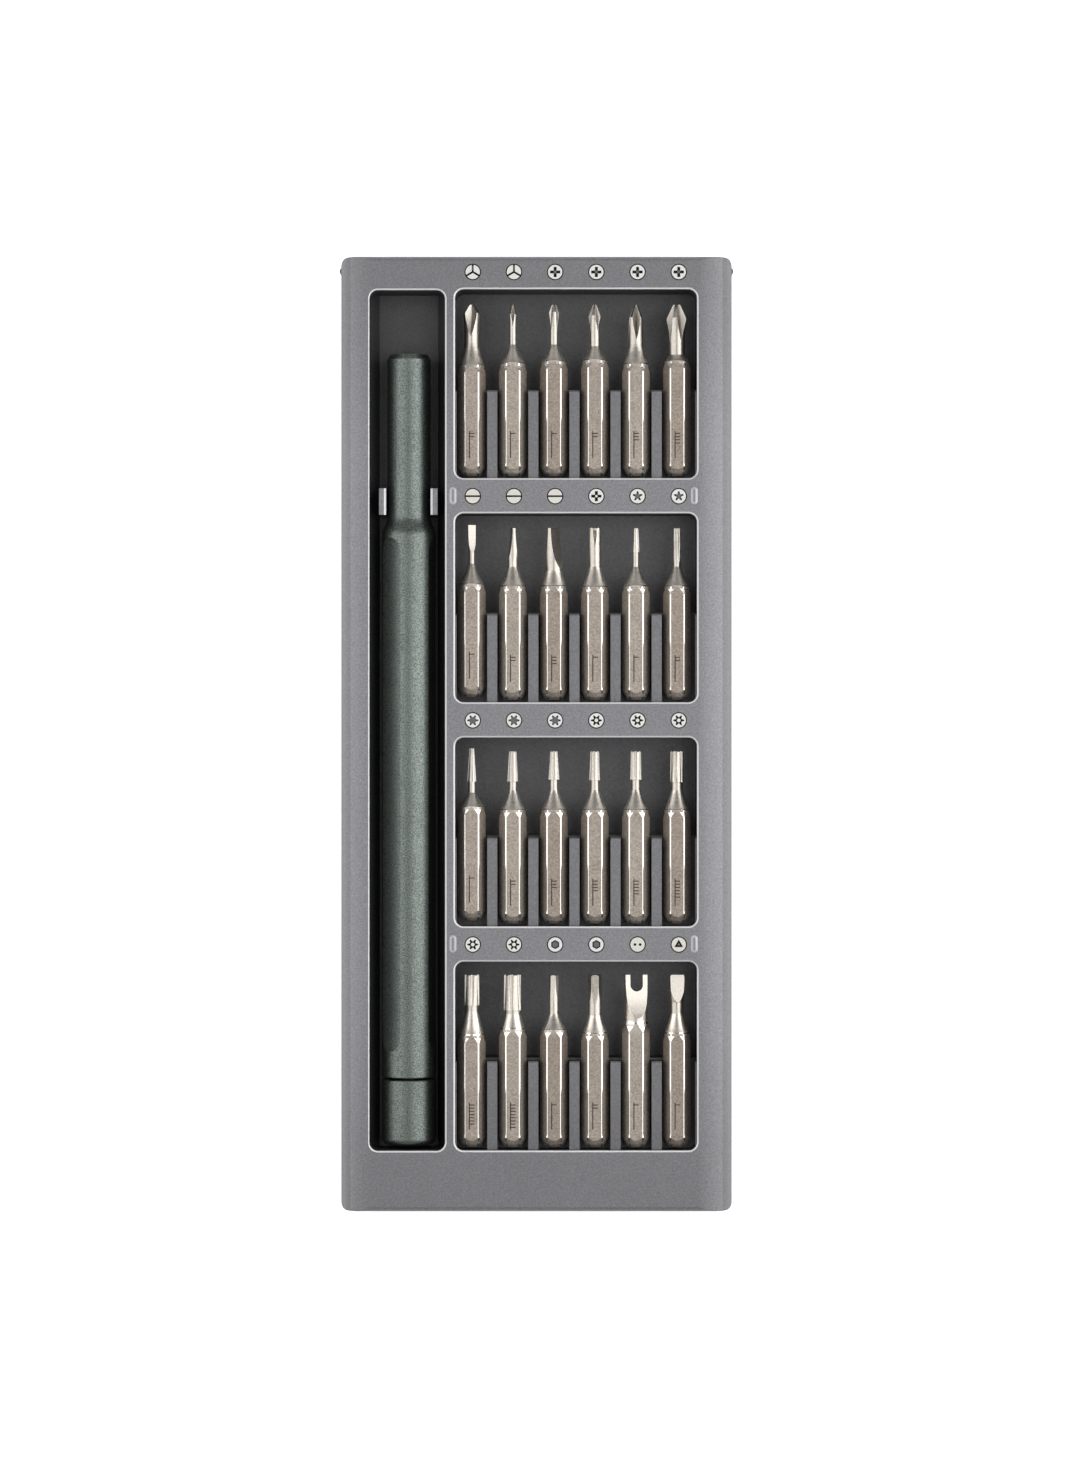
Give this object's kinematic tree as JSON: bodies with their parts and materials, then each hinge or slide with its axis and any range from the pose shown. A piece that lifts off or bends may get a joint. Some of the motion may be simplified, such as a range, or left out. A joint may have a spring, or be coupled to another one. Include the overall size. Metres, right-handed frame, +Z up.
{
  "type": "precision screwdriver set",
  "caption": "Flat moulded tray holding rows of short hexagon-shank screwdriver bits that tilt out when pressed, beside a slim driver handle with a swivelling end cap.",
  "frame": {"origin": "centre of the tray's underside, which is the middle of the bounding box's bottom", "axes": "+Y along the tray towards the bit tips, +X across it from the handle to the bits, +Z up out of the open pockets"},
  "size_m": [0.0644, 0.1552, 0.0147],
  "materials": {
    "tray_plastic": "fine matt grain with a slight metallic tint",
    "blasted_aluminium": "bead-blasted and anodised dark green-grey",
    "bit_steel": "satin nickel plate over ground steel",
    "hidden_steel": "turned bright",
    "blackened_steel": "blackened, turned",
    "magnet": "nickel-plated",
    "cage_brass": "plain"
  },
  "bodies": {
    "tray": {"tray_body": "tray_plastic", "base_cover": "tray_plastic", "cover_screws": "hidden_steel", "bit_magnets": "magnet"},
    "handle": {"handle_body": "blasted_aluminium", "bit_socket": "hidden_steel", "socket_magnet": "magnet", "cap_spindle": "blackened_steel", "spindle_clip": "hidden_steel", "bearing_inner_race": "hidden_steel"},
    "cap": {"swivel_cap": "blasted_aluminium", "bearing_outer_race": "hidden_steel"},
    "cage": {"bearing_cage": "cage_brass", "bearing_balls": "hidden_steel"},
    "bit_tri_wing_large": {"bit_tri_wing_large": "bit_steel"},
    "bit_tri_wing_small": {"bit_tri_wing_small": "bit_steel"},
    "bit_cross_extra_small": {"bit_cross_extra_small": "bit_steel"},
    "bit_cross_small": {"bit_cross_small": "bit_steel"},
    "bit_cross_medium": {"bit_cross_medium": "bit_steel"},
    "bit_cross_large": {"bit_cross_large": "bit_steel"},
    "bit_slot_small": {"bit_slot_small": "bit_steel"},
    "bit_slot_medium": {"bit_slot_medium": "bit_steel"},
    "bit_slot_large": {"bit_slot_large": "bit_steel"},
    "bit_three_prong": {"bit_three_prong": "bit_steel"},
    "bit_five_lobe_small": {"bit_five_lobe_small": "bit_steel"},
    "bit_five_lobe_large": {"bit_five_lobe_large": "bit_steel"},
    "bit_six_lobe_1": {"bit_six_lobe_1": "bit_steel"},
    "bit_six_lobe_2": {"bit_six_lobe_2": "bit_steel"},
    "bit_six_lobe_3": {"bit_six_lobe_3": "bit_steel"},
    "bit_six_lobe_4": {"bit_six_lobe_4": "bit_steel"},
    "bit_six_lobe_5": {"bit_six_lobe_5": "bit_steel"},
    "bit_six_lobe_6": {"bit_six_lobe_6": "bit_steel"},
    "bit_six_lobe_7": {"bit_six_lobe_7": "bit_steel"},
    "bit_six_lobe_8": {"bit_six_lobe_8": "bit_steel"},
    "bit_hex_small": {"bit_hex_small": "bit_steel"},
    "bit_hex_large": {"bit_hex_large": "bit_steel"},
    "bit_fork": {"bit_fork": "bit_steel"},
    "bit_triangle": {"bit_triangle": "bit_steel"}
  },
  "joints": [
    {"name": "handle_lift", "type": "slide", "parent": "tray", "child": "handle", "axis": [0, 0, 1], "range_m": [0, 0.03]},
    {"name": "cap_spin", "type": "hinge", "parent": "handle", "child": "cap", "pos_m": [-0.02085, -0.06168, 0.00972], "axis": [0, 1, 0], "continuous": true},
    {"name": "cage_spin", "type": "hinge", "parent": "handle", "child": "cage", "pos_m": [-0.02085, -0.05815, 0.00972], "axis": [0, 1, 0], "continuous": true},
    {"name": "tilt_tri_wing_large", "type": "hinge", "parent": "tray", "child": "bit_tri_wing_large", "pos_m": [-0.01055, 0.05595, 0.00905], "axis": [-1, 0, 0], "range_deg": [0, 15]},
    {"name": "tilt_tri_wing_small", "type": "hinge", "parent": "tray", "child": "bit_tri_wing_small", "pos_m": [-0.00386, 0.05595, 0.00905], "axis": [-1, 0, 0], "range_deg": [0, 15]},
    {"name": "tilt_cross_extra_small", "type": "hinge", "parent": "tray", "child": "bit_cross_extra_small", "pos_m": [0.00283, 0.05595, 0.00905], "axis": [-1, 0, 0], "range_deg": [0, 15]},
    {"name": "tilt_cross_small", "type": "hinge", "parent": "tray", "child": "bit_cross_small", "pos_m": [0.00952, 0.05595, 0.00905], "axis": [-1, 0, 0], "range_deg": [0, 15]},
    {"name": "tilt_cross_medium", "type": "hinge", "parent": "tray", "child": "bit_cross_medium", "pos_m": [0.01621, 0.05595, 0.00905], "axis": [-1, 0, 0], "range_deg": [0, 15]},
    {"name": "tilt_cross_large", "type": "hinge", "parent": "tray", "child": "bit_cross_large", "pos_m": [0.0229, 0.05595, 0.00905], "axis": [-1, 0, 0], "range_deg": [0, 15]},
    {"name": "tilt_slot_small", "type": "hinge", "parent": "tray", "child": "bit_slot_small", "pos_m": [-0.01055, 0.01955, 0.00905], "axis": [-1, 0, 0], "range_deg": [0, 15]},
    {"name": "tilt_slot_medium", "type": "hinge", "parent": "tray", "child": "bit_slot_medium", "pos_m": [-0.00386, 0.01955, 0.00905], "axis": [-1, 0, 0], "range_deg": [0, 15]},
    {"name": "tilt_slot_large", "type": "hinge", "parent": "tray", "child": "bit_slot_large", "pos_m": [0.00283, 0.01955, 0.00905], "axis": [-1, 0, 0], "range_deg": [0, 15]},
    {"name": "tilt_three_prong", "type": "hinge", "parent": "tray", "child": "bit_three_prong", "pos_m": [0.00952, 0.01955, 0.00905], "axis": [-1, 0, 0], "range_deg": [0, 15]},
    {"name": "tilt_five_lobe_small", "type": "hinge", "parent": "tray", "child": "bit_five_lobe_small", "pos_m": [0.01621, 0.01955, 0.00905], "axis": [-1, 0, 0], "range_deg": [0, 15]},
    {"name": "tilt_five_lobe_large", "type": "hinge", "parent": "tray", "child": "bit_five_lobe_large", "pos_m": [0.0229, 0.01955, 0.00905], "axis": [-1, 0, 0], "range_deg": [0, 15]},
    {"name": "tilt_six_lobe_1", "type": "hinge", "parent": "tray", "child": "bit_six_lobe_1", "pos_m": [-0.01055, -0.01685, 0.00905], "axis": [-1, 0, 0], "range_deg": [0, 15]},
    {"name": "tilt_six_lobe_2", "type": "hinge", "parent": "tray", "child": "bit_six_lobe_2", "pos_m": [-0.00386, -0.01685, 0.00905], "axis": [-1, 0, 0], "range_deg": [0, 15]},
    {"name": "tilt_six_lobe_3", "type": "hinge", "parent": "tray", "child": "bit_six_lobe_3", "pos_m": [0.00283, -0.01685, 0.00905], "axis": [-1, 0, 0], "range_deg": [0, 15]},
    {"name": "tilt_six_lobe_4", "type": "hinge", "parent": "tray", "child": "bit_six_lobe_4", "pos_m": [0.00952, -0.01685, 0.00905], "axis": [-1, 0, 0], "range_deg": [0, 15]},
    {"name": "tilt_six_lobe_5", "type": "hinge", "parent": "tray", "child": "bit_six_lobe_5", "pos_m": [0.01621, -0.01685, 0.00905], "axis": [-1, 0, 0], "range_deg": [0, 15]},
    {"name": "tilt_six_lobe_6", "type": "hinge", "parent": "tray", "child": "bit_six_lobe_6", "pos_m": [0.0229, -0.01685, 0.00905], "axis": [-1, 0, 0], "range_deg": [0, 15]},
    {"name": "tilt_six_lobe_7", "type": "hinge", "parent": "tray", "child": "bit_six_lobe_7", "pos_m": [-0.01055, -0.05325, 0.00905], "axis": [-1, 0, 0], "range_deg": [0, 15]},
    {"name": "tilt_six_lobe_8", "type": "hinge", "parent": "tray", "child": "bit_six_lobe_8", "pos_m": [-0.00386, -0.05325, 0.00905], "axis": [-1, 0, 0], "range_deg": [0, 15]},
    {"name": "tilt_hex_small", "type": "hinge", "parent": "tray", "child": "bit_hex_small", "pos_m": [0.00283, -0.05325, 0.00905], "axis": [-1, 0, 0], "range_deg": [0, 15]},
    {"name": "tilt_hex_large", "type": "hinge", "parent": "tray", "child": "bit_hex_large", "pos_m": [0.00952, -0.05325, 0.00905], "axis": [-1, 0, 0], "range_deg": [0, 15]},
    {"name": "tilt_fork", "type": "hinge", "parent": "tray", "child": "bit_fork", "pos_m": [0.01621, -0.05325, 0.00905], "axis": [-1, 0, 0], "range_deg": [0, 15]},
    {"name": "tilt_triangle", "type": "hinge", "parent": "tray", "child": "bit_triangle", "pos_m": [0.0229, -0.05325, 0.00905], "axis": [-1, 0, 0], "range_deg": [0, 15]}
  ],
  "couplings": [
    {"joint": "cage_spin", "follows": "cap_spin", "ratio": 0.5889}
  ]
}
